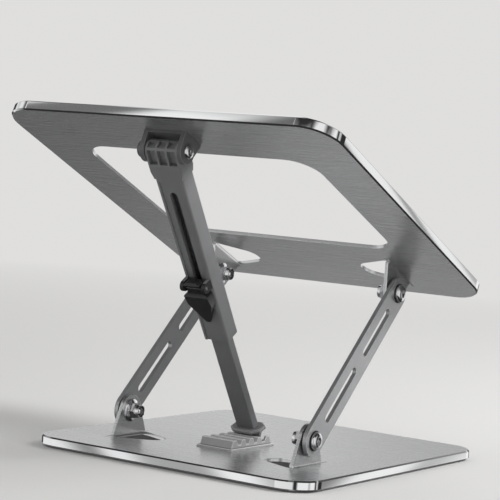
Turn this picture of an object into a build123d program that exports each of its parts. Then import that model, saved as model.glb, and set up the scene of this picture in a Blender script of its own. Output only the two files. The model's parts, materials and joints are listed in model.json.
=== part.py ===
# Portable projector stand: a sheet-metal base and a tilted tray joined by two slotted
# side arms, held up in front by a telescoping strut whose foot sits in a notched rack.
# Millimetres, +X to the right, +Y to the back, +Z up. The stand faces -Y.
from build123d import *
from math import atan2, cos, degrees, hypot, radians, sin
import os

# Sheet pans
SHEET = 2.5
BASE_WIDTH = 220.0
BASE_DEPTH = 256.0
BASE_CORNER = 22.0
BASE_RIM = 6.5
TRAY_WIDTH = 254.0
TRAY_DEPTH = 270.0
TRAY_CORNER = 24.0
TRAY_RIM = 7.0
TRAY_TILT = 23.4

# Window in the tray
WINDOW_WIDTH = 180.0
WINDOW_FRONT = 50.5
WINDOW_LENGTH = 138.5
WINDOW_CORNER = 20.0

# Rubber feet and pads
RUBBER_RADIUS = 8.0
RUBBER_INSET = 26.0
FLOOR_GAP = 1.2
PAD_WIDTH = 14.0
PAD_LENGTH = 60.0
PAD_PROUD = 0.6
PAD_INSET = 20.0
PAD_FROM_END = 64.0

# Ears bent out of the sheet
EAR_FROM_BASE_EDGE = 36.0
EAR_FOOT = 38.0
EAR_ROUND = 11.0
EAR_BEND = 1.5
EAR_KERF = 0.7
EAR_SLIT = 1.2
EAR_SLIT_REACH = 7.0
BASE_PIVOT_UP = 17.0
TRAY_PIVOT_DOWN = 16.0
BASE_PIVOT_Y = 64.5
TRAY_PIVOT_FROM_BACK = 39.5

# Slotted arms
ARM_SPAN = 141.0
ARM_ANGLE = 43.2
ARM_WIDTH = 22.0
ARM_THICK = 3.0
ARM_SLOT_WIDTH = 6.2
LOWER_SLOT_FROM = 17.5
UPPER_SLOT_FROM = 16.8
ARM_BRIDGE = 13.0
LOWER_SLOT_SHARE = 0.525

# Pivot screws, washers and nuts
SCREW_RADIUS = 3.0
SCREW_HEAD_RADIUS = 6.2
SCREW_HEAD_HIGH = 3.4
SCREW_TAIL = 0.4
SCREW_SOCKET = 5.0
WASHER_THICK = 1.2
WASHER_RADIUS = 8.5
NUT_FLANGE_RADIUS = 8.0
NUT_FLANGE_THICK = 1.6
NUT_HEX = 10.0
NUT_HEX_HIGH = 6.0
NUT_COLLAR_RADIUS = 4.5
NUT_HIGH = 8.6
RUNNING_FIT = 0.05
SIDE_GAP = 0.1

# Notched rack on the base
RACK_FRONT = 65.8
RACK_WIDTH = 26.0
RACK_HIGH = 7.0
RACK_END_SLOPE = 2.4
RACK_FLANGE = 1.5
RACK_FLANGE_OUT = 1.5
NOTCH_COUNT = 4
NOTCH_PITCH = 10.4
NOTCH_TOP = 6.8
NOTCH_FLOOR_WIDTH = 3.4
NOTCH_FLOOR = 3.4

# Clevis under the tray's front strip
CLEVIS_Y = 25.0
CLEVIS_DROP = 11.0
CLEVIS_PLATE = 2.5
CLEVIS_FRONT = 8.5
CLEVIS_BACK = 11.5
CHEEK_THICK = 3.4
CHEEK_ROUND = 8.0
PIN_RADIUS = 2.5
PIN_HEAD_RADIUS = 4.6
PIN_HEAD_HIGH = 2.6
PIN_SOCKET = 3.0
PIN_NUT_RADIUS = 5.3
PIN_NUT_HIGH = 3.8

# Sleeve, the strut's upper half
SLEEVE_TOP_WIDTH = 21.8
SLEEVE_END_WIDTH = 19.6
SLEEVE_THICK = 14.0
SLEEVE_LENGTH = 146.0
SLEEVE_ROUND = 2.0
HEAD_WIDTH = 24.5
HEAD_LENGTH = 13.0
HEAD_SHOULDER = 5.0
HEAD_SIDE_GAP = 0.5
PANEL_FROM = 20.0
PANEL_DEPTH = 0.8
PANEL_EDGE = 2.8
SLOT_WIDTH = 6.0
SLOT_FROM = 28.0
SLOT_TO = 104.0
BORE_FROM = 22.0
RIB = 1.5
RIB_COLUMNS = 3
CELL_DEPTH = 3.0
FRONT_CELL_TOP = 3.2
FRONT_CELL_END = 7.0

# Rod and foot, the strut's lower half
ROD_WIDTH = 14.0
ROD_THICK = 7.0
ROD_ROUND = 1.0
ROD_TOP = 103.0
ROD_CLEAR = 0.2
FOOT_WIDTH = 24.5
FOOT_DEPTH = 16.5
FOOT_THICK = 2.5
FOOT_CORNER = 4.5
FOOT_BEVEL = 0.8
FOOT_RISE = 12.0
FOOT_TILT = 20.0
BLADE_TIP = 3.7
BLADE_WIDTH = 21.0
BLADE_SIDE_GAP = 0.8
BLADE_TIP_WIDTH = 1.0
BLADE_ROOT_WIDTH = 5.0
BLADE_FROM_NOTCH = 0.4

# Latch lever on the sleeve
LATCH_PIN_AT = 98.0
LATCH_PIN_OUT = 5.0
LATCH_PIN_RADIUS = 1.5
LATCH_TOP = 93.0
LATCH_TAIL = 129.0
LATCH_HIGH = 9.5
LATCH_EDGE = 1.5
LATCH_DISH = 1.6
LATCH_HEEL = 105.0
LATCH_HEEL_HIGH = 7.6
LATCH_TAIL_HIGH = 1.4
LATCH_GAP = 0.3
LATCH_PRESS_GAP = 2.4
LATCH_SIDE_GAP = 0.8
LATCH_CORNER = 3.0
LATCH_WIDE_FROM = 102.6
LATCH_WIDE_TO = 113.0
LATCH_FLARE = 1.8
LATCH_WIDE = 18.6
LATCH_TIP_WIDTH = 3.0
LUG_OUTER = 9.8
LUG_THICK = 2.6
LUG_ROUND = 3.6

# How far cutting shapes run past what they cut, and the flats of small round pieces that repeat
PAST = 1.0
ROUND_FLATS = 24

# Side-view layout, measured from the base's front edge and the floor
EAR_FACE = BASE_WIDTH / 2 - EAR_FROM_BASE_EDGE
ARM_INNER = EAR_FACE + WASHER_THICK + SIDE_GAP
ARM_OUTER = ARM_INNER + ARM_THICK + SIDE_GAP
BASE_TOP = FLOOR_GAP + BASE_RIM
BASE_PIVOT = (BASE_PIVOT_Y, BASE_TOP + BASE_PIVOT_UP)
TRAY_PIVOT = (BASE_PIVOT[0] + ARM_SPAN * cos(radians(ARM_ANGLE)),
              BASE_PIVOT[1] + ARM_SPAN * sin(radians(ARM_ANGLE)))
TRAY_PIVOT_Y = TRAY_DEPTH - TRAY_PIVOT_FROM_BACK
NOTCH_LAST = RACK_FRONT + NOTCH_COUNT * NOTCH_PITCH
BLADE_Y = NOTCH_LAST - (NOTCH_FLOOR_WIDTH - BLADE_TIP_WIDTH) / 2 + BLADE_FROM_NOTCH
FOOT_POINT = (BLADE_Y, BASE_TOP + FOOT_RISE)


def tray_point(y, drop):
    """Side-view place of a point given along the tray from its front edge and below its sheet."""
    dy = y - TRAY_PIVOT_Y
    dz = TRAY_PIVOT_DOWN - drop
    tilt = radians(TRAY_TILT)
    return (TRAY_PIVOT[0] + dy * cos(tilt) + dz * sin(tilt), TRAY_PIVOT[1] - dy * sin(tilt) + dz * cos(tilt))


CLEVIS_PIVOT = tray_point(CLEVIS_Y, CLEVIS_DROP)
STRUT_LENGTH = hypot(FOOT_POINT[0] - CLEVIS_PIVOT[0], FOOT_POINT[1] - CLEVIS_PIVOT[1])
STRUT_LEAN = degrees(atan2(FOOT_POINT[0] - CLEVIS_PIVOT[0], CLEVIS_PIVOT[1] - FOOT_POINT[1]))
MIDDLE_Y = (tray_point(0, 0)[0] + BASE_DEPTH) / 2

BASE_FRAME = Location((0, -MIDDLE_Y, 0))
TRAY_FRAME = BASE_FRAME * Location((0, TRAY_PIVOT[0], TRAY_PIVOT[1]), (-TRAY_TILT, 0, 0))
ARM_FRAME = BASE_FRAME * Location((0, BASE_PIVOT[0], BASE_PIVOT[1]), (ARM_ANGLE, 0, 0))
STRUT_FRAME = BASE_FRAME * Location((0, CLEVIS_PIVOT[0], CLEVIS_PIVOT[1]), (STRUT_LEAN, 0, 0))
FOOT_FRAME = BASE_FRAME * Location((0, FOOT_POINT[0], FOOT_POINT[1]))
LATCH_PIN = Pos(0, -SLEEVE_THICK / 2 - LATCH_PIN_OUT, -LATCH_PIN_AT)

SIDES = (("left", -1), ("right", 1))
parts = {}


def block(x, y, z):
    """Box between three pairs of limits."""
    size = (x[1] - x[0], y[1] - y[0], z[1] - z[0])
    return Pos((x[0] + x[1]) / 2, (y[0] + y[1]) / 2, (z[0] + z[1]) / 2) * Box(*size)


def bar_along_x(radius, x0, x1):
    """Cylinder along X through the origin of the Y-Z plane."""
    return Pos((x0 + x1) / 2, 0, 0) * Rot(0, 90, 0) * Cylinder(radius, abs(x1 - x0))


def flats_along_x(radius, x0, x1):
    """Many-sided bar along X, for small round pieces that repeat."""
    outline = RegularPolygon(radius, ROUND_FLATS, major_radius=False)
    return Pos(x0, 0, 0) * extrude(Plane.YZ * outline, x1 - x0)


def across(outline, half):
    """Y-Z outline extruded to both sides along X."""
    return extrude(Plane.YZ * outline, half, both=True)


def on_side(shape, side):
    """A shape drawn for the right side, mirrored where the left one is wanted."""
    return shape if side > 0 else mirror(shape, Plane.YZ)


def hexagon(across_flats):
    """Hexagon facing along X, given across its flats."""
    return Plane.YZ * RegularPolygon(across_flats / 2, 6, major_radius=False)


def socket_screw(radius, length, head_radius, head_high, socket):
    """Screw along +X: its shank ends at the origin and its head, with a hexagon socket, stands beyond."""
    screw = bar_along_x(radius, -length, 0) + bar_along_x(head_radius, 0, head_high)
    return screw - Pos(head_high / 2, 0, 0) * extrude(hexagon(socket), head_high)


def pan(width, depth, corner, rim):
    """Sheet pan, open below, its top face at Z = 0 and its front edge at Y = 0."""
    outer = extrude(RectangleRounded(width, depth, corner), -rim)
    inner = extrude(RectangleRounded(width - 2 * SHEET, depth - 2 * SHEET, corner - SHEET), -rim)
    return Pos(0, depth / 2, 0) * (outer - Pos(0, 0, -SHEET) * inner)


def ear_flat(foot, pivot_up, grow=0.0):
    """Ear outline on its fold line: a straight foot, and sides that run tangent to its round end."""
    straight = Pos(0, (EAR_BEND - foot) / 2) * Rectangle(EAR_FOOT + 2 * grow, EAR_BEND + foot)
    end = Pos(0, pivot_up) * Circle(EAR_ROUND + grow)
    return make_hull(straight.edges() + end.edges())


def bent_ear(pivot_up):
    """Right-hand ear bent up from a sheet with its top at Z = 0; the ear's outer face is X = 0."""
    high = pivot_up + EAR_ROUND
    tab = EAR_BEND + SHEET
    bend = make_face(Polyline((tab, -SHEET), (tab, 0), (0, 0), (0, high), (-SHEET, high), (-SHEET, -SHEET),
                              close=True))
    bend = fillet(bend.vertices().sort_by_distance(Vector(0, 0))[0], EAR_BEND)
    bend = fillet(bend.vertices().sort_by_distance(Vector(-SHEET, -SHEET))[0], EAR_BEND + SHEET)
    strip = extrude(Plane.XZ * bend, EAR_FOOT / 2, both=True)
    return strip & across(ear_flat(SHEET, pivot_up), 2 * tab)


def ear_cuts(pivot_up):
    """What the right-hand ear leaves open in the sheet: its flat shape, its bend and two relief slits."""
    flat = Plane(origin=(-SHEET, 0, -SHEET), x_dir=(0, 1, 0), z_dir=(0, 0, 1))
    opening = extrude(flat * ear_flat(0, pivot_up, EAR_KERF), SHEET, both=True)
    side = EAR_FOOT / 2 + EAR_KERF
    bend = block((-SHEET, EAR_BEND), (-side, side), (-2 * SHEET, SHEET))
    slit = Box(EAR_SLIT, EAR_FOOT + 2 * EAR_SLIT_REACH, 4 * SHEET)
    return opening + bend + slit


def with_ears(sheet, pivot_y, pivot_up):
    """Bend a pair of ears up out of the sheet and bore them for their screws."""
    for name, side in SIDES:
        place = Pos(side * EAR_FACE, pivot_y, 0)
        bore = bar_along_x(SCREW_RADIUS + RUNNING_FIT, -SHEET - PAST, PAST)
        ear = bent_ear(pivot_up) - Pos(0, 0, pivot_up) * bore
        sheet -= place * on_side(ear_cuts(pivot_up), side)
        sheet += place * on_side(ear, side)
    return sheet


def make_base():
    """Base pan with its ears, on four rubber feet."""
    plate = with_ears(pan(BASE_WIDTH, BASE_DEPTH, BASE_CORNER, BASE_RIM), BASE_PIVOT_Y, BASE_PIVOT_UP)
    parts["base_plate"] = BASE_FRAME * Pos(0, 0, BASE_TOP) * plate
    for row, y in (("front", RUBBER_INSET), ("back", BASE_DEPTH - RUBBER_INSET)):
        for name, side in SIDES:
            foot = extrude(RegularPolygon(RUBBER_RADIUS, ROUND_FLATS), BASE_TOP - SHEET)
            place = Pos(side * (BASE_WIDTH / 2 - RUBBER_INSET), y, 0)
            parts[f"{name}_{row}_foot"] = BASE_FRAME * place * foot


def make_rack():
    """Notched block with sloped ends, its last ridge open in the middle so the blade can swing out."""
    points = [(0, 0), (RACK_END_SLOPE, RACK_HIGH)]
    for i in range(NOTCH_COUNT):
        middle = (i + 1) * NOTCH_PITCH
        points.append((middle - NOTCH_TOP / 2, RACK_HIGH))
        points.append((middle - NOTCH_FLOOR_WIDTH / 2, NOTCH_FLOOR))
        points.append((middle + NOTCH_FLOOR_WIDTH / 2, NOTCH_FLOOR))
        points.append((middle + NOTCH_TOP / 2, RACK_HIGH))
    length = (NOTCH_COUNT + 1) * NOTCH_PITCH
    points.append((length - RACK_END_SLOPE, RACK_HIGH))
    points.append((length, 0))
    body = across(make_face(Polyline(*points, close=True)), RACK_WIDTH / 2)
    half = BLADE_WIDTH / 2 + BLADE_SIDE_GAP
    body -= block((-half, half), (NOTCH_COUNT * NOTCH_PITCH, length + PAST), (NOTCH_FLOOR, RACK_HIGH + PAST))
    side = RACK_WIDTH / 2 + RACK_FLANGE_OUT
    flange = block((-side, side), (-RACK_FLANGE_OUT, length + RACK_FLANGE_OUT), (0, RACK_FLANGE))
    parts["rack"] = BASE_FRAME * Pos(0, RACK_FRONT, BASE_TOP) * (body + flange)


def make_arms():
    """Flat bars with round ends, two long slots each and a bore at each pivot."""
    outline = Pos(ARM_SPAN / 2, 0) * SlotCenterToCenter(ARM_SPAN, ARM_WIDTH)
    room = ARM_SPAN - LOWER_SLOT_FROM - UPPER_SLOT_FROM - ARM_BRIDGE
    lower = room * LOWER_SLOT_SHARE
    upper = room - lower
    outline -= Pos(LOWER_SLOT_FROM + lower / 2, 0) * SlotOverall(lower, ARM_SLOT_WIDTH)
    outline -= Pos(ARM_SPAN - UPPER_SLOT_FROM - upper / 2, 0) * SlotOverall(upper, ARM_SLOT_WIDTH)
    for pivot in (0, ARM_SPAN):
        outline -= Pos(pivot, 0) * Circle(SCREW_RADIUS + RUNNING_FIT)
    for name, side in SIDES:
        bar = extrude(Plane.YZ * outline, side * ARM_THICK)
        parts[f"{name}_arm"] = ARM_FRAME * Pos(side * ARM_INNER, 0, 0) * bar


def make_pivots():
    """Socket screw outside, washer between ear and arm, flanged lock nut inside."""
    seat = EAR_FACE - SHEET
    nut_end = seat - NUT_HIGH
    hole = flats_along_x(SCREW_RADIUS + RUNNING_FIT, nut_end - PAST, ARM_OUTER)
    length = ARM_OUTER - nut_end + SCREW_TAIL
    screw = socket_screw(SCREW_RADIUS, length, SCREW_HEAD_RADIUS, SCREW_HEAD_HIGH, SCREW_SOCKET)
    screw = Pos(ARM_OUTER, 0, 0) * screw
    washer = flats_along_x(WASHER_RADIUS, EAR_FACE, EAR_FACE + WASHER_THICK) - hole
    nut = Pos(seat - NUT_HEX_HIGH, 0, 0) * extrude(hexagon(NUT_HEX), NUT_HEX_HIGH)
    nut += flats_along_x(NUT_FLANGE_RADIUS, seat - NUT_FLANGE_THICK, seat)
    nut += flats_along_x(NUT_COLLAR_RADIUS, nut_end, seat - NUT_HEX_HIGH)
    nut -= hole
    for level, pivot in (("lower", BASE_PIVOT), ("upper", TRAY_PIVOT)):
        frame = BASE_FRAME * Pos(0, *pivot)
        for name, side in SIDES:
            parts[f"{name}_{level}_screw"] = frame * on_side(screw, side)
            parts[f"{name}_{level}_washer"] = frame * on_side(washer, side)
            parts[f"{name}_{level}_nut"] = frame * on_side(nut, side)


def make_tray():
    """The tray is the same kind of pan turned over, so it is built upside down and flipped."""
    sheet = pan(TRAY_WIDTH, TRAY_DEPTH, TRAY_CORNER, TRAY_RIM)
    window = RectangleRounded(WINDOW_WIDTH, WINDOW_LENGTH, WINDOW_CORNER)
    sheet -= Pos(0, WINDOW_FRONT + WINDOW_LENGTH / 2, 0) * extrude(window, 2 * SHEET, both=True)
    sheet = with_ears(sheet, TRAY_PIVOT_Y, TRAY_PIVOT_DOWN)
    flip = Pos(0, -TRAY_PIVOT_Y, TRAY_PIVOT_DOWN) * mirror(sheet, Plane.XY)
    parts["tray_plate"] = TRAY_FRAME * flip
    for row, y in (("front", PAD_FROM_END), ("back", TRAY_DEPTH - PAD_FROM_END)):
        for name, side in SIDES:
            pad = extrude(Rectangle(PAD_WIDTH, PAD_LENGTH), TRAY_RIM - SHEET + PAD_PROUD)
            place = Pos(side * (TRAY_WIDTH / 2 - PAD_INSET), y - TRAY_PIVOT_Y, TRAY_PIVOT_DOWN + SHEET)
            parts[f"{name}_{row}_pad"] = TRAY_FRAME * place * pad


def make_clevis():
    """Bracket with two round-ended cheeks, its screw head on the right and nut on the left."""
    inner = HEAD_WIDTH / 2 + HEAD_SIDE_GAP
    outer = inner + CHEEK_THICK
    bracket = block((-outer, outer), (-CLEVIS_FRONT, CLEVIS_BACK), (CLEVIS_DROP - CLEVIS_PLATE, CLEVIS_DROP))
    web = Polyline((-CLEVIS_FRONT, CLEVIS_DROP), (CLEVIS_BACK, CLEVIS_DROP),
                   (CLEVIS_BACK, CLEVIS_DROP - CLEVIS_PLATE), (CHEEK_ROUND, 0), (-CHEEK_ROUND, 0),
                   (-CLEVIS_FRONT, CLEVIS_DROP - CLEVIS_PLATE), close=True)
    cheek = extrude(Plane.YZ * (make_face(web) + Circle(CHEEK_ROUND)), CHEEK_THICK)
    for name, side in SIDES:
        bracket += on_side(Pos(inner, 0, 0) * cheek, side)
    bore = bar_along_x(PIN_RADIUS + RUNNING_FIT, -outer - PIN_NUT_HIGH - PAST, outer + PAST)
    place = TRAY_FRAME * Pos(0, CLEVIS_Y - TRAY_PIVOT_Y, TRAY_PIVOT_DOWN - CLEVIS_DROP)
    parts["clevis"] = place * (bracket - bore)
    screw = socket_screw(PIN_RADIUS, 2 * outer + PIN_NUT_HIGH, PIN_HEAD_RADIUS, PIN_HEAD_HIGH, PIN_SOCKET)
    parts["clevis_screw"] = place * Pos(outer, 0, 0) * screw
    parts["clevis_nut"] = place * (bar_along_x(PIN_NUT_RADIUS, -outer - PIN_NUT_HIGH, -outer) - bore)


def sleeve_half(along):
    """Half the tapered sleeve's width, at a distance along it from the clevis screw."""
    return (SLEEVE_TOP_WIDTH + (SLEEVE_END_WIDTH - SLEEVE_TOP_WIDTH) * along / SLEEVE_LENGTH) / 2


def tapered(start, end, inset, depth):
    """Tapered slab between two places along the sleeve, inset from its sides, over a pair of Y limits."""
    first = sleeve_half(start) - inset
    last = sleeve_half(end) - inset
    outline = make_face(Polyline((-first, -start), (first, -start), (last, -end), (-last, -end), close=True))
    return extrude(Plane.XZ.offset(-depth[1]) * outline, depth[1] - depth[0])


def sleeve_head():
    """Barrel round the clevis screw, wider than the sleeve and drawn in to it by two shoulders."""
    half = sleeve_half(HEAD_LENGTH + HEAD_SHOULDER)
    head_half = HEAD_WIDTH / 2
    face = SLEEVE_THICK / 2
    end = HEAD_LENGTH + HEAD_SHOULDER
    front = make_face(Polyline((-head_half, face), (head_half, face), (head_half, -HEAD_LENGTH), (half, -end),
                               (-half, -end), (-head_half, -HEAD_LENGTH), close=True))
    side = Circle(face) + Rectangle(SLEEVE_THICK, end, align=(Align.CENTER, Align.MAX))
    return extrude(Plane.XZ * front, face, both=True) & across(side, head_half)


def head_cells():
    """Two rows of moulded pockets between the head's ribs, on its front and over its top."""
    face = SLEEVE_THICK / 2
    cell = (HEAD_WIDTH - (RIB_COLUMNS + 1) * RIB) / RIB_COLUMNS
    cells = []
    for i in range(RIB_COLUMNS):
        x0 = -HEAD_WIDTH / 2 + RIB + i * (cell + RIB)
        x = (x0, x0 + cell)
        cells.append(block(x, (-face - PAST, -face + CELL_DEPTH), (-FRONT_CELL_END, FRONT_CELL_TOP)))
        cells.append(block(x, (-face - PAST, 0), (FRONT_CELL_TOP + RIB, face + PAST)))
    return cells


def latch_lugs():
    """Pair of round lugs on the sleeve's front, just inside its sides."""
    ear = Circle(LUG_ROUND) + Rectangle(LATCH_PIN_OUT + PAST, 2 * LUG_ROUND, align=(Align.MIN, Align.CENTER))
    lug = Pos(LUG_OUTER - LUG_THICK, 0, 0) * extrude(Plane.YZ * ear, LUG_THICK)
    return LATCH_PIN * lug + LATCH_PIN * mirror(lug, Plane.YZ)


def make_sleeve():
    """Moulded sleeve: ribbed head, sunk front panel with a long slot, bore for the rod, latch lugs."""
    face = SLEEVE_THICK / 2
    end = -SLEEVE_LENGTH - PAST
    body = tapered(0, SLEEVE_LENGTH, 0, (-face, face))
    sleeve = fillet(body.edges().sort_by(SortBy.LENGTH)[-4:], SLEEVE_ROUND) + sleeve_head()
    sleeve -= tapered(PANEL_FROM, -end, PANEL_EDGE, (-face - PAST, -face + PANEL_DEPTH))
    for cell in head_cells():
        sleeve -= cell
    bore_half = ROD_WIDTH / 2 + ROD_CLEAR
    bore_face = ROD_THICK / 2 + ROD_CLEAR
    sleeve -= block((-bore_half, bore_half), (-bore_face, bore_face), (end, -BORE_FROM))
    slot = Pos(0, -(SLOT_FROM + SLOT_TO) / 2) * SlotOverall(SLOT_TO - SLOT_FROM, SLOT_WIDTH, rotation=90)
    sleeve -= extrude(Plane.XZ * slot, face + PAST)
    sleeve -= bar_along_x(PIN_RADIUS + RUNNING_FIT, -HEAD_WIDTH, HEAD_WIDTH)
    sleeve += latch_lugs()
    sleeve -= LATCH_PIN * bar_along_x(LATCH_PIN_RADIUS + RUNNING_FIT, -HEAD_WIDTH, HEAD_WIDTH)
    parts["sleeve"] = STRUT_FRAME * sleeve
    parts["latch_pin"] = STRUT_FRAME * LATCH_PIN * bar_along_x(LATCH_PIN_RADIUS, -LUG_OUTER, LUG_OUTER)


def make_latch():
    """Rocking lever: a dished thumb pad between the lugs, flaring below them and tapering to its tail."""
    face = -SLEEVE_THICK / 2

    def spot(out, along):
        return (face - out, -along)

    pad = spot(LATCH_HIGH, LATCH_TOP + LATCH_EDGE)
    heel = spot(LATCH_HEEL_HIGH, LATCH_HEEL)
    low = min(LATCH_HIGH, LATCH_HEEL_HIGH) - LATCH_DISH
    dish = ThreePointArc(pad, spot(low, (LATCH_TOP + LATCH_EDGE + LATCH_HEEL) / 2), heel)
    rest = Polyline(heel, spot(LATCH_GAP + LATCH_TAIL_HIGH, LATCH_TAIL), spot(LATCH_GAP, LATCH_TAIL),
                    spot(LATCH_GAP, LATCH_PIN_AT + LATCH_EDGE), spot(LATCH_PRESS_GAP, LATCH_TOP),
                    spot(LATCH_HIGH - LATCH_EDGE, LATCH_TOP), pad)
    side = across(make_face(dish + rest), LATCH_WIDE)
    narrow = LUG_OUTER - LUG_THICK - LATCH_SIDE_GAP
    wide = LATCH_WIDE / 2
    tip = LATCH_TIP_WIDTH / 2
    right = [(narrow, -LATCH_TOP), (narrow, -LATCH_WIDE_FROM), (wide, -LATCH_WIDE_FROM - LATCH_FLARE),
             (wide, -LATCH_WIDE_TO), (tip, -LATCH_TAIL)]
    left = [(-x, z) for x, z in reversed(right)]
    front = make_face(Polyline(*right, *left, close=True))
    front = fillet(front.vertices().group_by(Axis.Y)[-1], LATCH_CORNER)
    lever = side & extrude(Plane.XZ * front, SLEEVE_THICK + LATCH_HIGH)
    hole = LATCH_PIN * bar_along_x(LATCH_PIN_RADIUS + RUNNING_FIT, -LATCH_WIDE, LATCH_WIDE)
    parts["latch"] = STRUT_FRAME * (lever - hole)


def make_rod():
    """Flat rod sliding in the sleeve, with a tilted eight-sided foot and its upright cross blade."""
    half = ROD_WIDTH / 2
    face = ROD_THICK / 2
    rod = block((-half, half), (-face, face), (-STRUT_LENGTH - ROD_WIDTH, -ROD_TOP))
    rod = fillet(rod.edges().filter_by(Axis.Z), ROD_ROUND)
    below = 2 * ROD_WIDTH
    tilt = Rot(FOOT_TILT, 0, 0)
    floor = FOOT_FRAME * tilt * block((-below, below), (-below, below), (-below, FOOT_THICK / 2))
    parts["rod"] = STRUT_FRAME * rod - floor
    outline = chamfer(Rectangle(FOOT_WIDTH, FOOT_DEPTH).vertices(), FOOT_CORNER)
    plate = Pos(0, 0, -FOOT_THICK / 2) * extrude(outline, FOOT_THICK)
    plate = tilt * chamfer(plate.edges().group_by(Axis.Z)[-1], FOOT_BEVEL)
    drop = FOOT_RISE - BLADE_TIP
    root = BLADE_ROOT_WIDTH / 2
    tip = BLADE_TIP_WIDTH / 2
    wedge = Polyline((-root, 0), (root, 0), (tip, -drop), (-tip, -drop), close=True)
    parts["foot"] = FOOT_FRAME * (plate + across(make_face(wedge), BLADE_WIDTH / 2))


make_base()
make_rack()
make_arms()
make_pivots()
make_tray()
make_clevis()
make_sleeve()
make_latch()
make_rod()

os.makedirs("parts", exist_ok=True)
for node, shape in parts.items():
    export_step(shape, f"parts/{node}.step")
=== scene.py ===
import json
from math import atan2, cos, radians, sin

import bmesh
import bpy
from mathutils import Matrix, Vector


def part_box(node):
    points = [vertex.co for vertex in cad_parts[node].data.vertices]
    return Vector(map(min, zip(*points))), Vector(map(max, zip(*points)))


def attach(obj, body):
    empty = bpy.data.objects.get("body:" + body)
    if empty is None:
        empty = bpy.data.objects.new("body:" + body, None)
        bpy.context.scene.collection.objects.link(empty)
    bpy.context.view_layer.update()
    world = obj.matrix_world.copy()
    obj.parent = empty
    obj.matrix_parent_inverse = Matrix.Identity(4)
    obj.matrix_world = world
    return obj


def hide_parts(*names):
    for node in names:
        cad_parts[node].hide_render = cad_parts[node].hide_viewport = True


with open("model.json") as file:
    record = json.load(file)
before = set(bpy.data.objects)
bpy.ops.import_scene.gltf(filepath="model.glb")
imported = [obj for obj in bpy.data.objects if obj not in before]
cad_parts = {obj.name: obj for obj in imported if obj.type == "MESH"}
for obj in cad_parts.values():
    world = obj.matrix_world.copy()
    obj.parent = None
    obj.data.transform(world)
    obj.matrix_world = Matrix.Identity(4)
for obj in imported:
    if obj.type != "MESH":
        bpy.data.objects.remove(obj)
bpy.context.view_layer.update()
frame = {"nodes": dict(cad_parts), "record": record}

RECORD = frame["record"]
BODY_OF = {node: body for body, nodes in RECORD["behaviour"]["bodies"].items() for node in nodes}
SLOT_OF = {row["node"]: row["material_slot"] for row in RECORD["subparts"]}
TRAY_UP = Vector(next(mount["axis"] for mount in RECORD["mounts"] if mount["name"] == "tray_face"))
BASE_UP = Vector((0, 0, 1))
SIDES = ("left", "right")
MM = 0.001

# Camera, fitted to the photograph
EYE = Vector((0.6609, -1.0748, 0.1960))
VIEW_TURN = 32.04
VIEW_DOWN = 2.37
VIEW_ROLL = 4.60
LENS = 129.6
SENSOR = 36.0

# Floor, backdrop and lamps
BACKDROP = (0.74, 0.735, 0.725)
AMBIENT = 0.26
FLOOR_RADIUS = 9.0
FADE_FROM = 0.55
FADE_TO = 2.2
LAMP_AIM = Vector((0.0, 0.0, 0.1))

# The studio that metal reflects: tones by turn, in degrees from +X
WALLS = (
    (-180, 0.9), (-110, 0.85), (-58, 0.8), (-52, 0.03), (-44, 0.03), (-38, 0.92), (-5, 0.92), (2, 0.45),
    (8, 0.92), (22, 0.92), (26, 0.05), (30, 0.05), (33, 0.65), (37, 0.6), (41, 0.03), (56, 0.03), (59, 0.95),
    (90, 1.0), (94, 0.05), (100, 0.05), (108, 0.35), (116, 0.4), (120.5, 0.62), (127, 0.57), (143, 0.5),
    (148, 0.04), (163, 0.04), (170, 0.9), (180, 0.9),
)
PANELS = (
    (-180, 0.3), (-172, 0.85), (-160, 0.85), (-152, 0.15), (-145, 0.17), (-112, 0.4), (-104, 0.06),
    (-92, 0.9), (-70, 0.9), (-60, 0.08), (-46, 0.9), (-20, 0.9), (-8, 0.06), (90, 0.1), (108, 0.95),
    (132, 0.95), (135, 0.1), (168, 0.3), (180, 0.3),
)
STUDIO_FLOOR = (
    (-180, 0.06), (-150, 0.03), (85, 0.03), (105, 0.25), (123, 0.27), (129, 0.34), (134, 0.18), (139, 0.11),
    (180, 0.08),
)
BASE_FRONT_SLATS = (
    (-132, 0.9), (-127.6, 0.92), (-127, 0.25), (-126.5, 0.15), (-126.1, 0.95), (-125.5, 0.95),
    (-124.9, 0.42), (-122.8, 0.38), (-122.2, 0.97), (-121.4, 0.97), (-120.6, 0.5), (-118, 0.8),
)
BASE_SIDE_SLATS = (
    (54, 0.03), (59.9, 0.03), (60.3, 0.3), (60.9, 0.2), (61.4, 0.5), (61.8, 0.97), (63.5, 0.97), (64, 0.45),
    (64.8, 0.6), (65.6, 0.9), (70, 1.0),
)
TRAY_SIDE_SLATS = (
    (54, 0.03), (60.1, 0.03), (60.7, 0.95), (62.6, 0.95), (62.9, 0.2), (63.3, 0.2), (63.6, 0.97),
    (64.8, 0.95), (65.3, 0.35), (67, 0.9), (70, 1.0),
)
TRAY_FRONT_SLATS = (
    (-145, 0.9), (-142.2, 0.9), (-141.5, 0.17), (-138.1, 0.17), (-137.1, 0.97), (-134.3, 0.97),
    (-133.4, 0.55), (-132.6, 0.17), (-131.3, 0.17), (-130.6, 0.8), (-128, 0.6),
)
STUDIO_TOP = 0.03

# Heights of a reflected ray between which a layer of the studio fades in
PANELS_FROM = (0.28, 0.45)
FLOOR_FROM = (-0.3, -0.5)
LOW_SLATS_FROM = (-0.10, -0.13)
HIGH_SLATS_FROM = (-0.13, -0.10)
TOP_FROM = (0.62, 0.70)
STUDIO_LAYERS = (
    (PANELS_FROM, PANELS),
    (LOW_SLATS_FROM, BASE_FRONT_SLATS),
    (LOW_SLATS_FROM, BASE_SIDE_SLATS),
    (HIGH_SLATS_FROM, TRAY_SIDE_SLATS),
    (PANELS_FROM, TRAY_FRONT_SLATS),
    (FLOOR_FROM, STUDIO_FLOOR),
)

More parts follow.
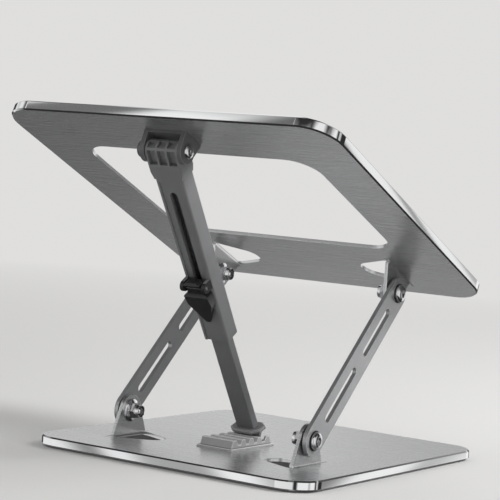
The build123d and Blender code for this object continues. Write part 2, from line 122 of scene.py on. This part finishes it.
# Sides of round and hexagon pieces, and cuts across a rim
RING = 48
HEX = 6
RIM_CUTS = 3
FLOOR_SIDES = 96

# Edge rounding, in millimetres
RIM_CHAMFER = 0.95
RIM_CROWN = 0.03
SHEET_ROUND = 0.3
ARM_ROUND = 0.4
STRUT_ROUND = 0.4
BRACKET_ROUND = 0.6
LATCH_ROUND = 1.0
PAD_ROUND = 1.0

# Telling edges and faces apart: lengths in millimetres, bends in degrees, lean as a slope
TRAY_RIM_HIGH = 7.0
LUG_STAND = 4.4
WELD = 0.001
SKIN = 0.05
SHARP_ANGLE = 32.0
CREASE_ANGLE = 38.0
FLAT_ANGLE = 0.4
WALL_LEAN = 0.1

# Screws, nuts and washers, in millimetres or as shares
SCREW_RADIUS = 3.0
SCREW_HEAD = 3.4
SCREW_SOCKET = 5.0
PIN_RADIUS = 2.5
PIN_HEAD = 2.6
PIN_SOCKET = 3.0
SOCKET_SHARE = 0.6
SOCKET_LEAD = 0.12
THREAD_PITCH = 1.0
THREAD_DEPTH = 0.4
SEAT_RADIUS = 6.9
SEAT_THICK = 0.5
NUT_HEX = 10.0
NUT_FLANGE = 1.6
COLLAR_RADIUS = 4.5
COLLAR_HIGH = 2.6
COLLAR_WALL = 0.65
NYLON_FROM = 0.4
NYLON_TO = 1.2
NYLON_EDGE = 0.2
NYLON_GAP = 0.02
POINT_SHARE = 0.7
PLAIN_SHANK = 2.0
HEAD_RIM = 0.9
HEAD_FLAT = 0.55
EDGE_BREAK = 0.3
FINE_BREAK = 0.15
CAP_ROUND = 0.7
CAP_EDGE = 0.2
BORE_LEAD = 0.4

# A rubber foot's sole, in millimetres: distance in from its wall, and height
SOLE = ((0.0, 1.4), (0.2, 0.7), (0.7, 0.2), (1.4, 0.0), (3.0, 0.0), (3.4, 0.4))


# Materials

# Face marks that the materials read
EDGE_BAND = "edge_band"
# Face mark for painted light: 1 gives a painted highlight on rounded outer edges, -1 painted shade in inner
# corners
EDGE_LIGHT_SHADE = "painted_edge_light_shade"
LUGS = "lugs"
CUT_EDGE = 0.8

# Middle of a noise's range, where its tones are spread
NOISE_LOW = 0.3
NOISE_HIGH = 0.7

# Tones and finishes, with brush marks per metre along X, Y and Z, and depths in metres
SHEET_TONES = ((0.73, 0.735, 0.74), (0.76, 0.765, 0.77))
SHEET_METAL = 0.9
BAND_TONE = (0.86, 0.865, 0.87)
BAND_ROUGH = 0.05
FINE_BRUSH = (30.0, 2600.0, 2600.0)
BROAD_BRUSH = (7.0, 90.0, 90.0)
BRUSH_DEPTH = 0.00002
BRUSH_RELIEF = 0.035
ARM_TONES = ((0.42, 0.425, 0.435), (0.46, 0.465, 0.47))
# Painted shade for the arm's inner corners, and painted highlight for its outer edges
ARM_PAINTED_SHADE = (0.2, 0.2, 0.205)
ARM_PAINTED_HIGHLIGHT = (0.75, 0.755, 0.76)
ARM_METAL = 0.5
LATCH_BLACK = (0.022, 0.022, 0.023)
RUBBER_TONES = ((0.022, 0.022, 0.023), (0.04, 0.04, 0.041))
DULL_SHARE = 0.92
# Painted shade in inner corners and painted highlight on outer edges, as shares of a plastic's light tone
PAINTED_SHADE_SHARE = 0.4
PAINTED_HIGHLIGHT_SHARE = 1.7
MOULD_RELIEF = 0.35
RUBBER_DEPTH = 0.00005
RUBBER_RELIEF = 0.4


def principled(name, sockets):
    """New material whose shader has the given constant sockets."""
    material = bpy.data.materials.new(name)
    material.use_nodes = True
    shader = material.node_tree.nodes["Principled BSDF"]
    for socket, value in sockets.items():
        shader.inputs[socket].default_value = value
    return material, material.node_tree, shader


def add_node(tree, kind, settings=None, values=None, links=None):
    """New node with its settings, constant sockets and linked sockets."""
    node = tree.nodes.new(kind)
    for key, value in (settings or {}).items():
        setattr(node, key, value)
    for key, value in (values or {}).items():
        node.inputs[key].default_value = value
    for key, output in (links or {}).items():
        tree.links.new(output, node.inputs[key])
    return node


def grain(tree, scale, stretch=(1.0, 1.0, 1.0), turn=0.0, detail=2.0):
    """Noise on the piece's own coordinates, turned about X and stretched."""
    place = add_node(tree, "ShaderNodeTexCoord").outputs["Object"]
    lay = add_node(tree, "ShaderNodeMapping", None, {"Rotation": (turn, 0.0, 0.0), "Scale": stretch},
                   {"Vector": place})
    noise = add_node(tree, "ShaderNodeTexNoise", None, {"Scale": scale, "Detail": detail},
                     {"Vector": lay.outputs[0]})
    return noise.outputs[0]


def spread(tree, value, low, high, start=NOISE_LOW, end=NOISE_HIGH):
    """Value from start to end brought to low to high."""
    node = add_node(tree, "ShaderNodeMapRange", None,
                    {"From Min": start, "From Max": end, "To Min": low, "To Max": high}, {"Value": value})
    return node.outputs[0]


def tones(tree, value, dark, light):
    """Colour between two tones, by a value around one half."""
    ramp = add_node(tree, "ShaderNodeValToRGB", None, None, {"Fac": value})
    low, high = ramp.color_ramp.elements
    low.position, high.position = NOISE_LOW, NOISE_HIGH
    low.color = (*dark, 1.0)
    high.color = (*light, 1.0)
    return ramp.outputs[0]


def mixed(tree, share, first, second):
    """Number that goes from first to second as share goes from 0 to 1."""
    mix = add_node(tree, "ShaderNodeMix", {"data_type": "FLOAT"}, {3: second}, {0: share, 2: first})
    return mix.outputs[0]


def tinted(tree, share, first, second):
    """Colour that goes from first to a fixed second as share goes from 0 to 1."""
    mix = add_node(tree, "ShaderNodeMix", {"data_type": "RGBA"}, {7: (*second, 1.0)}, {0: share, 6: first})
    return mix.outputs[2]


def relief(tree, shader, height, depth, strength, share=None):
    """Fine surface relief of a given depth in metres, or only a share of it."""
    bump = add_node(tree, "ShaderNodeBump", None, {"Distance": depth, "Strength": strength},
                    {"Height": height})
    if share:
        tree.links.new(spread(tree, share, 0.0, strength, 0.0, 1.0), bump.inputs["Strength"])
    tree.links.new(bump.outputs[0], shader.inputs["Normal"])


def marked(tree, name):
    """Value of a face mark, 0 where a piece has none."""
    return add_node(tree, "ShaderNodeAttribute", {"attribute_name": name}).outputs["Fac"]


def edge_lit_and_shaded(tree, colour, shade_tone, highlight_tone):
    """Colour painted darker in inner corners as painted shade, and lighter on outer edges as painted
    highlight.
    """
    # Painted shade where the mark is -1, painted highlight where it is 1
    edge_light = marked(tree, EDGE_LIGHT_SHADE)
    colour = tinted(tree, spread(tree, edge_light, 1.0, 0.0, -1.0, 0.0), colour, shade_tone)
    return tinted(tree, spread(tree, edge_light, 0.0, 1.0, 0.0, 1.0), colour, highlight_tone)


def brushed_sheet(name, up, smooth, rough):
    """Satin aluminium brushed across its width, polished on the faces marked as its edge band."""
    material, tree, shader = principled(name, {})
    # Turned about X, so that the base's marks aren't the tray's
    turn = -TRAY_UP.angle(up)
    fine = grain(tree, 1.0, FINE_BRUSH, turn)
    broad = grain(tree, 1.0, BROAD_BRUSH, turn)
    polish = marked(tree, EDGE_BAND)
    satin = tones(tree, broad, *SHEET_TONES)
    tree.links.new(tinted(tree, polish, satin, BAND_TONE), shader.inputs["Base Color"])
    tree.links.new(spread(tree, polish, SHEET_METAL, 1.0, 0.0, 1.0), shader.inputs["Metallic"])
    satin_rough = spread(tree, fine, smooth, rough)
    tree.links.new(mixed(tree, polish, satin_rough, BAND_ROUGH), shader.inputs["Roughness"])
    relief(tree, shader, fine, BRUSH_DEPTH, BRUSH_RELIEF, spread(tree, polish, 1.0, 0.0, 0.0, 1.0))
    return material


def arm_metal():
    """Dark satin aluminium bar."""
    material, tree, shader = principled("arm_metal", {"Metallic": ARM_METAL})
    fine = grain(tree, 1600.0)
    broad = grain(tree, 60.0)
    satin = tones(tree, broad, *ARM_TONES)
    # Base colour with a painted highlight on outer edges and painted shade in inner corners
    tree.links.new(edge_lit_and_shaded(tree, satin, ARM_PAINTED_SHADE, ARM_PAINTED_HIGHLIGHT), shader.inputs["Base Color"])
    tree.links.new(spread(tree, fine, 0.21, 0.25), shader.inputs["Roughness"])
    return material


def polished_steel(name, colour, low, high):
    """Bright steel with faint handling marks."""
    material, tree, shader = principled(name, {"Metallic": 1.0})
    marks = grain(tree, 420.0, (1.0, 1.0, 3.0))
    dull = tuple(DULL_SHARE * tone for tone in colour)
    tree.links.new(tones(tree, marks, dull, colour), shader.inputs["Base Color"])
    tree.links.new(spread(tree, marks, low, high), shader.inputs["Roughness"])
    return material


def moulded_plastic(name, dark, light, low, high, depth):
    """Moulded plastic with a fine eroded grain, a painted highlight on its outer edges, painted shade in its
    inner corners, and black on lugs.
    """
    material, tree, shader = principled(name, {"Specular IOR Level": 0.45})
    fine = grain(tree, 2200.0, detail=3.0)
    cloud = grain(tree, 45.0)
    # Tones for painted shade in inner corners and painted highlight on outer edges
    shade_tone, highlight_tone = [tuple(share * tone for tone in light) for share in (PAINTED_SHADE_SHARE, PAINTED_HIGHLIGHT_SHARE)]
    colour = tinted(tree, marked(tree, LUGS), tones(tree, cloud, dark, light), LATCH_BLACK)
    tree.links.new(edge_lit_and_shaded(tree, colour, shade_tone, highlight_tone), shader.inputs["Base Color"])
    tree.links.new(spread(tree, fine, low, high), shader.inputs["Roughness"])
    relief(tree, shader, fine, depth, MOULD_RELIEF)
    return material


def rubber():
    """Matt black rubber, a little dusty."""
    material, tree, shader = principled("rubber", {"Specular IOR Level": 0.3})
    dust = grain(tree, 260.0, detail=4.0)
    tree.links.new(tones(tree, dust, *RUBBER_TONES), shader.inputs["Base Color"])
    tree.links.new(spread(tree, dust, 0.7, 0.9), shader.inputs["Roughness"])
    relief(tree, shader, grain(tree, 1500.0), RUBBER_DEPTH, RUBBER_RELIEF)
    return material


MATERIALS = {
    "base_plate": brushed_sheet("brushed_base", BASE_UP, 0.25, 0.3),
    "tray_plate": brushed_sheet("brushed_tray", TRAY_UP, 0.26, 0.31),
    "arm_metal": arm_metal(),
    "polished_steel": polished_steel("polished_steel", (0.80, 0.80, 0.81), 0.06, 0.14),
    "pin_steel": polished_steel("pin_steel", (0.62, 0.62, 0.62), 0.2, 0.3),
    "washer_nylon": moulded_plastic("washer_nylon", (0.012, 0.012, 0.012), (0.02, 0.02, 0.02),
                                    0.4, 0.55, 0.00002),
    "strut_plastic": moulded_plastic("strut_plastic", (0.188, 0.19, 0.194), (0.212, 0.215, 0.219),
                                     0.42, 0.56, 0.00004),
    "bracket_plastic": moulded_plastic("bracket_plastic", (0.115, 0.116, 0.119), (0.135, 0.136, 0.139),
                                       0.42, 0.56, 0.00004),
    "rack_plastic": moulded_plastic("rack_plastic", (0.47, 0.47, 0.472), (0.51, 0.51, 0.512),
                                    0.45, 0.6, 0.00004),
    "foot": moulded_plastic("foot_plastic", (0.215, 0.216, 0.22), (0.24, 0.242, 0.246), 0.45, 0.6, 0.00004),
    "latch_plastic": moulded_plastic("latch_plastic", (0.016, 0.016, 0.017), LATCH_BLACK, 0.3, 0.4, 0.00002),
    "rubber": rubber(),
}


# Pieces

def show(name, form, node, slot=None):
    """Finish a form as the look of a CAD node, or as an added piece on its body by a slot of its own."""
    form.normal_update()
    for face in form.faces:
        face.smooth = True
    for edge in form.edges:
        edge.smooth = edge.is_manifold and edge.calc_face_angle() < radians(CREASE_ANGLE)
    mesh = bpy.data.meshes.new(name)
    form.to_mesh(mesh)
    form.free()
    look = slot or (node if node in MATERIALS else SLOT_OF[node])
    mesh.materials.append(MATERIALS[look])
    piece = bpy.data.objects.new(name, mesh)
    bpy.context.scene.collection.objects.link(piece)
    even = piece.modifiers.new("even_shading", "WEIGHTED_NORMAL")
    even.keep_sharp = True
    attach(piece, BODY_OF[node])
    if slot is None:
        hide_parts(node)


def cad_form(node):
    """A CAD node's shape as merged faces, ready for its edges to be rounded and its faces marked."""
    form = bmesh.new()
    form.from_mesh(frame["nodes"][node].data)
    for name in (EDGE_BAND, EDGE_LIGHT_SHADE, LUGS):
        form.faces.layers.float.new(name)
    bmesh.ops.remove_doubles(form, verts=form.verts, dist=WELD * MM)
    bmesh.ops.dissolve_limit(form, angle_limit=radians(FLAT_ANGLE), verts=form.verts, edges=form.edges)
    return form


def sharp_edges(form):
    """Edges where two faces meet at more than a gentle bend."""
    bend = radians(SHARP_ANGLE)
    return [edge for edge in form.edges if edge.is_manifold and edge.calc_face_angle() > bend]


def round_over(form, edges, width, segments=2):
    """Round edges by a width in millimetres, or chamfer them with one segment, and return the new faces."""
    done = bmesh.ops.bevel(form, geom=edges, offset=width * MM, offset_type="OFFSET", affect="EDGES",
                           segments=segments, profile=0.5, material=-1, clamp_overlap=True, loop_slide=True)
    return done["faces"]


def mark(form, name, faces, value):
    """Give faces a value in a face mark."""
    layer = form.faces.layers.float[name]
    for face in faces:
        face[layer] = value


def soften(form, edges, width, segments=2):
    """Round edges, and return the new faces on outer edges and those in inner corners."""
    new = round_over(form, edges, width, segments)
    form.normal_update()
    outer, inner = [], []
    for face in new:
        bend = max((edge.calc_face_angle_signed() for edge in face.edges if edge.is_manifold), key=abs)
        (outer if bend > 0 else inner).append(face)
    return outer, inner


def softened(node, width, segments=2):
    """Show the CAD node's shape with its edges rounded, with a painted highlight on outer edges and painted
    shade in inner corners.
    """
    form = cad_form(node)
    outer, inner = soften(form, sharp_edges(form), width, segments)
    # Outer edges get a painted highlight, inner corners painted shade
    mark(form, EDGE_LIGHT_SHADE, outer, 1.0)
    mark(form, EDGE_LIGHT_SHADE, inner, -1.0)
    if node == "sleeve":
        mark(form, LUGS, lug_faces(form), 1.0)
    show("soft_" + node, form, node)


def lug_faces(form):
    """Faces of the latch's two lugs, which stand out from the sleeve's front."""
    joints = {joint["name"]: joint for joint in RECORD["behaviour"]["joints"]}
    front = Vector((1, 0, 0)).cross(Vector(joints["rod_slide"]["axis"]))
    pin = Vector(joints["latch_press"]["pos_m"])
    return [face for face in form.faces if front.dot(face.calc_center_median() - pin) > -LUG_STAND * MM]


def crowned_wall(form, up, low, high):
    """Bow and mark a pan's outer wall between two heights along `up`, and return its two end edges."""
    def level(vertex):
        return up.dot(vertex.co)

    def stands(edge):
        rise = abs(level(edge.verts[0]) - level(edge.verts[1]))
        return max(abs(rise - (high - low)), abs(edge.calc_length() - rise)) < SKIN * MM

    def upright(face):
        return abs(face.normal.dot(up)) < WALL_LEAN

    def at_end(edge):
        return any(all(abs(level(vertex) - end) < SKIN * MM for vertex in edge.verts) for end in (low, high))

    across = [edge for edge in form.edges if stands(edge)]
    cut = bmesh.ops.subdivide_edges(form, edges=across, cuts=RIM_CUTS, use_grid_fill=True)
    pieces = [item for item in cut["geom_split"] if item.is_valid and isinstance(item, bmesh.types.BMEdge)]
    outer = {vertex for edge in pieces for vertex in edge.verts}
    form.normal_update()
    moves = {}
    for vertex in outer:
        facing = [face.normal for face in vertex.link_faces if upright(face)]
        bow = (2 * (level(vertex) - low) / (high - low) - 1) ** 2
        moves[vertex] = sum(facing, Vector()).normalized() * bow * RIM_CROWN * MM
    for vertex, move in moves.items():
        vertex.co -= move
    walls = [face for face in form.faces if outer.issuperset(face.verts) and upright(face)]
    mark(form, EDGE_BAND, walls, 1.0)
    return [edge for edge in form.edges if outer.issuperset(edge.verts) and at_end(edge)]


def sheet_pan(node, up, low, high):
    """Pressed pan: a crowned outer wall with polished chamfers, and finely rounded cut-outs and ears."""
    form = cad_form(node)
    mark(form, EDGE_BAND, round_over(form, crowned_wall(form, up, low, high), RIM_CHAMFER, 1), 1.0)
    polish = form.faces.layers.float[EDGE_BAND]
    cut_edges = [edge for edge in sharp_edges(form) if not any(face[polish] for face in edge.link_faces)]
    mark(form, EDGE_BAND, soften(form, cut_edges, SHEET_ROUND)[0], CUT_EDGE)
    show("soft_" + node, form, node)


def reach(angle, radius, sides=RING):
    """Distance from the axis to a ring at an angle: a circle's radius, or as far as a polygon's side."""
    if sides == RING:
        return radius
    half = radians(180 / sides)
    return radius * cos(half) / cos(angle % (2 * half) - half)


def turned(form, rings, cap_first=False, cap_last=False):
    """Skin drawn out round the X axis along rings: radius, place along X, and sides if it isn't round."""
    bmesh.ops.create_circle(form, segments=RING, radius=1.0, matrix=Matrix.Rotation(radians(90), 4, "Y"))
    loop = form.edges[:]
    first_loop = loop
    for step, (radius, at, *sides) in enumerate(rings):
        if step:
            drawn = bmesh.ops.extrude_edge_only(form, edges=loop)["geom"]
            points = {item for item in drawn if isinstance(item, bmesh.types.BMVert)}
            edges = [item for item in drawn if isinstance(item, bmesh.types.BMEdge)]
            loop = [edge for edge in edges if points.issuperset(edge.verts)]
        for point in {vertex for edge in loop for vertex in edge.verts}:
            angle = atan2(point.co.z, point.co.y)
            far = reach(angle, radius, *sides)
            point.co = (at, far * cos(angle), far * sin(angle))
    for wanted, end in ((cap_first, first_loop), (cap_last, loop)):
        if wanted:
            bmesh.ops.contextual_create(form, geom=end)
    bmesh.ops.remove_doubles(form, verts=form.verts, dist=WELD)
    bmesh.ops.recalc_face_normals(form, faces=form.faces)


def set_along_x(form, node, outward):
    """Bring a form drawn in millimetres along +X to its node's middle, from the node's inner end."""
    low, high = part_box(node)
    middle = (low + high) / 2
    end = low.x if outward > 0 else high.x
    turn = Matrix.Rotation(0.0 if outward > 0 else radians(180), 4, "Z")
    place = Matrix.Translation((end, middle.y, middle.z)) @ turn @ Matrix.Scale(MM, 4)
    bmesh.ops.transform(form, matrix=place, verts=form.verts)


def size_along_x(node):
    """Length along X and radius of a turned node, in millimetres."""
    low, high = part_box(node)
    return (high.x - low.x) / MM, (high.y - low.y) / 2 / MM


def domed(head_radius, seat, high, rim, crown, steps=6):
    """Rings of a button head from its rim up to its crown."""
    rings = []
    for step in range(steps + 1):
        angle = radians(90 * step / steps)
        radius = crown + (head_radius - crown) * cos(angle)
        rings.append((radius, seat + rim + (high - rim) * sin(angle)))
    return rings


def socket_screw(node, outward, radius, head_high, socket, seat_thick=0.0):
    """Button-head screw with a hexagon socket and a threaded end."""
    length, head_radius = size_along_x(node)
    seat = length - head_high + seat_thick
    corner = socket / 2 / cos(radians(30))
    form = bmesh.new()
    rings = [(radius * POINT_SHARE, 0.0), (radius - THREAD_DEPTH, THREAD_PITCH / 2)]
    turns = int((seat - PLAIN_SHANK) / THREAD_PITCH)
    for step in range(1, turns):
        at = step * THREAD_PITCH
        rings.append((radius, at))
        rings.append((radius - THREAD_DEPTH, at + THREAD_PITCH / 2))
    rings += [(radius, seat), (head_radius - EDGE_BREAK, seat), (head_radius, seat + EDGE_BREAK)]
    rings += domed(head_radius, seat, length - seat, HEAD_RIM, corner + HEAD_FLAT)
    rings += [(corner + SOCKET_LEAD, length, HEX), (corner, length - FINE_BREAK, HEX),
              (corner, length - SOCKET_SHARE * head_high, HEX)]
    turned(form, rings, cap_first=True, cap_last=True)
    set_along_x(form, node, outward)
    show("turned_" + node, form, node)


def dark_seat_ring(node, outward):
    """Thin dark ring under a pivot screw's head."""
    seat = size_along_x(node)[0] - SCREW_HEAD
    top = seat + SEAT_THICK
    form = bmesh.new()
    turned(form, [(SCREW_RADIUS, seat), (SEAT_RADIUS - FINE_BREAK, seat), (SEAT_RADIUS, seat + FINE_BREAK),
                  (SEAT_RADIUS, top - FINE_BREAK), (SEAT_RADIUS - FINE_BREAK, top), (SCREW_RADIUS, top),
                  (SCREW_RADIUS, seat)])
    set_along_x(form, node, outward)
    show("seat_under_" + node, form, node, "washer_nylon")


def lock_nut(node, outward):
    """Flanged hexagon nut with a round collar, and the nylon ring in the collar."""
    length, flange_radius = size_along_x(node)
    corner = NUT_HEX / 2 / cos(radians(30))
    seat = length - NUT_FLANGE
    bore = SCREW_RADIUS
    inner = COLLAR_RADIUS - COLLAR_WALL
    collar = [(inner, 0.25), (inner + 0.12, 0.06), (inner + 0.3, 0.0), (COLLAR_RADIUS - 0.12, 0.14),
              (COLLAR_RADIUS, 0.5), (COLLAR_RADIUS, COLLAR_HIGH - 0.3), (COLLAR_RADIUS + 0.2, COLLAR_HIGH)]
    hexagon = [(corner * 0.88, COLLAR_HIGH), (corner * 0.97, COLLAR_HIGH + 0.35, HEX),
               (corner, COLLAR_HIGH + 0.8, HEX), (corner, seat - 0.5, HEX)]
    flange = [(corner + 0.35, seat - 0.1), (flange_radius - 0.4, seat + 0.5), (flange_radius, seat + 0.9),
              (flange_radius, length - 0.1), (flange_radius - 0.1, length)]
    form = bmesh.new()
    turned(form, [(bore, length), (bore, NYLON_TO), (inner, NYLON_TO), *collar, *hexagon, *flange,
                  (bore, length)])
    set_along_x(form, node, outward)
    show("turned_" + node, form, node)
    rim = NYLON_FROM + FINE_BREAK
    outer = inner - NYLON_GAP
    form = bmesh.new()
    turned(form, [(bore, rim), (bore + FINE_BREAK, NYLON_FROM), (inner - NYLON_EDGE, NYLON_FROM),
                  (outer, rim), (outer, NYLON_TO), (bore, NYLON_TO), (bore, rim)])
    set_along_x(form, node, outward)
    show("ring_in_" + node, form, node, "washer_nylon")


def round_nut(node, outward, bore):
    """Round cap nut with softened ends."""
    length, radius = size_along_x(node)
    form = bmesh.new()
    turned(form, [(bore, length), (radius - CAP_EDGE, length), (radius, length - CAP_EDGE),
                  (radius, CAP_ROUND), (radius - CAP_EDGE, EDGE_BREAK), (radius - CAP_ROUND, 0.0),
                  (bore + BORE_LEAD, 0.0), (bore, EDGE_BREAK), (bore, length)])
    set_along_x(form, node, outward)
    show("turned_" + node, form, node)


def flat_washer(node, bore):
    """Nylon washer with chamfered rims."""
    length, radius = size_along_x(node)
    form = bmesh.new()
    turned(form, [(bore, 0.0), (radius - EDGE_BREAK, 0.0), (radius, EDGE_BREAK),
                  (radius, length - EDGE_BREAK), (radius - EDGE_BREAK, length), (bore, length), (bore, 0.0)])
    set_along_x(form, node, 1)
    show("turned_" + node, form, node)


def lever_pin(node):
    """Pin through the lugs, chamfered at both ends."""
    length, radius = size_along_x(node)
    form = bmesh.new()
    turned(form, [(radius - EDGE_BREAK, 0.0), (radius, EDGE_BREAK), (radius, length - EDGE_BREAK),
                  (radius - EDGE_BREAK, length)], cap_first=True, cap_last=True)
    set_along_x(form, node, 1)
    show("turned_" + node, form, node)


def rubber_foot(node):
    """Moulded foot: a straight wall, a rounded sole and a shallow sunk middle."""
    low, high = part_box(node)
    radius = (high.x - low.x) / 2 / MM
    tall = (high.z - low.z) / MM
    form = bmesh.new()
    sole = [(radius - inset, rise) for inset, rise in SOLE]
    turned(form, [(radius, tall), *sole], cap_first=True, cap_last=True)
    middle = (low + high) / 2
    upright = Matrix.Rotation(radians(-90), 4, "Y")
    place = Matrix.Translation((middle.x, middle.y, low.z)) @ upright @ Matrix.Scale(MM, 4)
    bmesh.ops.transform(form, matrix=place, verts=form.verts)
    show("moulded_" + node, form, node)


base_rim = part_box("base_plate")[0].z
base_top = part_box("rack")[0].z
tray_rim = max(TRAY_UP.dot(vertex.co) for vertex in frame["nodes"]["tray_plate"].data.vertices)
sheet_pan("base_plate", BASE_UP, base_rim, base_top)
sheet_pan("tray_plate", TRAY_UP, tray_rim - TRAY_RIM_HIGH * MM, tray_rim)
for side, outward in zip(SIDES, (-1, 1)):
    softened(side + "_arm", ARM_ROUND)
    for level in ("lower", "upper"):
        hardware = side + "_" + level
        socket_screw(hardware + "_screw", outward, SCREW_RADIUS, SCREW_HEAD, SCREW_SOCKET, SEAT_THICK)
        dark_seat_ring(hardware + "_screw", outward)
        flat_washer(hardware + "_washer", SCREW_RADIUS)
        lock_nut(hardware + "_nut", outward)
    for row in ("front", "back"):
        rubber_foot(side + "_" + row + "_foot")
        softened(side + "_" + row + "_pad", PAD_ROUND, 3)
softened("clevis", BRACKET_ROUND, 3)
socket_screw("clevis_screw", 1, PIN_RADIUS, PIN_HEAD, PIN_SOCKET)
round_nut("clevis_nut", -1, PIN_RADIUS)
for node in ("sleeve", "rod", "foot", "rack"):
    softened(node, STRUT_ROUND)
softened("latch", LATCH_ROUND, 3)
lever_pin("latch_pin")


# Floor, light and camera

def ray_share(tree, *kinds):
    """1 for the named kinds of ray, 0 for the others."""
    path = add_node(tree, "ShaderNodeLightPath")
    share = path.outputs[kinds[0]]
    for kind in kinds[1:]:
        either = add_node(tree, "ShaderNodeMath", {"operation": "MAXIMUM"}, None,
                          {0: share, 1: path.outputs[kind]})
        share = either.outputs[0]
    return share


def pale_floor():
    """Round pale floor that fades into the backdrop's colour; metal reflects the studio instead."""
    form = bmesh.new()
    bmesh.ops.create_circle(form, cap_ends=True, segments=FLOOR_SIDES, radius=FLOOR_RADIUS)
    mesh = bpy.data.meshes.new("floor")
    form.to_mesh(mesh)
    form.free()
    material, tree, shader = principled("pale_floor", {"Base Color": (*BACKDROP, 1.0), "Roughness": 0.8,
                                                       "Specular IOR Level": 0.1})
    glow = add_node(tree, "ShaderNodeEmission", None, {"Color": (*BACKDROP, 1.0)})
    place = add_node(tree, "ShaderNodeTexCoord").outputs["Object"]
    far = add_node(tree, "ShaderNodeVectorMath", {"operation": "LENGTH"}, None, {0: place})
    fade = spread(tree, far.outputs["Value"], 0.0, 1.0, FADE_FROM, FADE_TO)
    seen = add_node(tree, "ShaderNodeMath", {"operation": "MULTIPLY"}, None,
                    {0: fade, 1: ray_share(tree, "Is Camera Ray", "Is Transmission Ray")})
    mix = add_node(tree, "ShaderNodeMixShader", None, None,
                   {0: seen.outputs[0], 1: shader.outputs[0], 2: glow.outputs[0]})
    tree.links.new(mix.outputs[0], tree.nodes["Material Output"].inputs["Surface"])
    mesh.materials.append(material)
    floor = bpy.data.objects.new("floor", mesh)
    floor.visible_glossy = False
    bpy.context.scene.collection.objects.link(floor)


def tones_round(tree, turn, stops):
    """Tone by turn round the stand, between stops given in degrees."""
    first, last = stops[0][0], stops[-1][0]
    along = spread(tree, turn, 0.0, 1.0, radians(first), radians(last))
    ramp = add_node(tree, "ShaderNodeValToRGB", None, None, {"Fac": along})
    points = ramp.color_ramp.elements
    points.remove(points[1])
    for degrees, tone in stops:
        point = points[0] if degrees == first else points.new((degrees - first) / (last - first))
        point.color = (tone, tone, tone, 1.0)
    return ramp.outputs[0]


def studio(tree):
    """Tone of the studio in a reflected ray's direction."""
    look = add_node(tree, "ShaderNodeTexCoord").outputs["Generated"]
    parts = add_node(tree, "ShaderNodeSeparateXYZ", None, None, {0: look})
    rise = parts.outputs["Z"]
    angle = add_node(tree, "ShaderNodeMath", {"operation": "ARCTAN2"}, None,
                     {0: parts.outputs["Y"], 1: parts.outputs["X"]})
    turn = angle.outputs[0]
    tone = tones_round(tree, turn, WALLS)
    for heights, stops in STUDIO_LAYERS:
        first, last = radians(stops[0][0]), radians(stops[-1][0])
        within = add_node(tree, "ShaderNodeMath", {"operation": "COMPARE"},
                          {1: (first + last) / 2, 2: (last - first) / 2}, {0: turn})
        share = add_node(tree, "ShaderNodeMath", {"operation": "MULTIPLY"}, None,
                         {0: within.outputs[0], 1: spread(tree, rise, 0.0, 1.0, *heights)})
        mix = add_node(tree, "ShaderNodeMix", {"data_type": "RGBA"}, None,
                       {0: share.outputs[0], 6: tone, 7: tones_round(tree, turn, stops)})
        tone = mix.outputs[2]
    return tinted(tree, spread(tree, rise, 0.0, 1.0, *TOP_FROM), tone, (STUDIO_TOP,) * 3)


def soft_world():
    """Even ambient light, the backdrop's colour where it is seen, and the studio in reflections."""
    world = bpy.data.worlds.new("soft_studio")
    world.use_nodes = True
    bpy.context.scene.world = world
    tree = world.node_tree
    shown = add_node(tree, "ShaderNodeBackground", None, {"Color": (*BACKDROP, 1.0), "Strength": 1.0})
    mirrored = add_node(tree, "ShaderNodeBackground", None, {"Strength": 1.0}, {"Color": studio(tree)})
    ambient = tree.nodes["Background"]
    ambient.inputs["Color"].default_value = (1.0, 1.0, 1.0, 1.0)
    ambient.inputs["Strength"].default_value = AMBIENT
    seen = ray_share(tree, "Is Camera Ray", "Is Transmission Ray")
    mix = add_node(tree, "ShaderNodeMixShader", None, None,
                   {0: seen, 1: ambient.outputs[0], 2: shown.outputs[0]})
    mix = add_node(tree, "ShaderNodeMixShader", None, None,
                   {0: ray_share(tree, "Is Glossy Ray"), 1: mix.outputs[0], 2: mirrored.outputs[0]})
    tree.links.new(mix.outputs[0], tree.nodes["World Output"].inputs["Surface"])


def soft_lamp(name, place, size, power):
    """Square area lamp turned towards the stand, and not itself seen in reflections."""
    lamp = bpy.data.lights.new(name, "AREA")
    lamp.shape = "SQUARE"
    lamp.size = size
    lamp.energy = power
    holder = bpy.data.objects.new(name, lamp)
    holder.location = place
    holder.visible_glossy = False
    holder.rotation_mode = "QUATERNION"
    holder.rotation_quaternion = (LAMP_AIM - Vector(place)).to_track_quat("-Z", "Y")
    bpy.context.scene.collection.objects.link(holder)


def photo_camera():
    """Camera at the photograph's place, turned, tipped and rolled as it was."""
    lens = bpy.data.cameras.new("camera")
    lens.lens = LENS
    lens.sensor_width = SENSOR
    lens.clip_end = 2 * FLOOR_RADIUS
    camera = bpy.data.objects.new("camera", lens)
    camera.matrix_world = (Matrix.Translation(EYE) @ Matrix.Rotation(radians(VIEW_TURN), 4, "Z")
                           @ Matrix.Rotation(radians(90 - VIEW_DOWN), 4, "X")
                           @ Matrix.Rotation(radians(VIEW_ROLL), 4, "Z"))
    bpy.context.scene.collection.objects.link(camera)
    bpy.context.scene.camera = camera


pale_floor()
soft_world()
soft_lamp("key_lamp", (1.45, 1.0, 1.25), 1.1, 46.0)
soft_lamp("fill_lamp", (-1.2, -1.3, 1.5), 1.6, 10.0)
soft_lamp("back_lamp", (-1.0, 1.6, 1.3), 1.6, 8.0)
photo_camera()
bpy.context.scene.view_settings.view_transform = "Standard"
